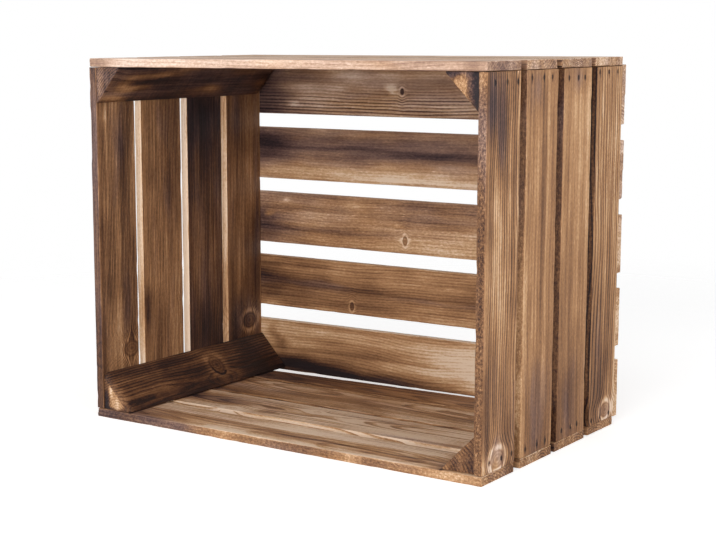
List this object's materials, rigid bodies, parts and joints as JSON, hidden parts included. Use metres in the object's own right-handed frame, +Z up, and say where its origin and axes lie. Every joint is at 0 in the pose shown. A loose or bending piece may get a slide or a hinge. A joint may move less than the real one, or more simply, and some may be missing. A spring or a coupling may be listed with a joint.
{
  "type": "wooden crate",
  "caption": "Slatted crate of scorched softwood boards, open at the front, nailed to triangular corner battens, with a slatted back.",
  "frame": {"origin": "centre of the underside, midway between the open front and the outer face of the back slats", "axes": "+X along the top and bottom boards to the viewer's right, -Y out of the open front, +Z up"},
  "size_m": [0.492, 0.305, 0.4],
  "materials": {
    "top_boards": "rough sawn, lightly scorched",
    "bottom_boards": "rough sawn, scorched",
    "side_boards": "rough sawn, scorched",
    "back_slats": "planed, scorched in streaks",
    "corner_battens": "rough sawn, darkly scorched",
    "nails": "dull, darkened by the flame"
  },
  "bodies": {
    "root": {"top_board_1": "top_boards", "top_board_2": "top_boards", "top_board_3": "top_boards", "top_board_4": "top_boards", "bottom_board_1": "bottom_boards", "bottom_board_2": "bottom_boards", "bottom_board_3": "bottom_boards", "bottom_board_4": "bottom_boards", "left_board_1": "side_boards", "left_board_2": "side_boards", "left_board_3": "side_boards", "left_board_4": "side_boards", "right_board_1": "side_boards", "right_board_2": "side_boards", "right_board_3": "side_boards", "right_board_4": "side_boards", "back_slat_1": "back_slats", "back_slat_2": "back_slats", "back_slat_3": "back_slats", "back_slat_4": "back_slats", "back_slat_5": "back_slats", "corner_batten_top_left": "corner_battens", "corner_batten_top_right": "corner_battens", "corner_batten_bottom_left": "corner_battens", "corner_batten_bottom_right": "corner_battens", "nails_top": "nails", "nails_bottom": "nails", "nails_left": "nails", "nails_right": "nails", "nails_back": "nails"}
  },
  "joints": []
}
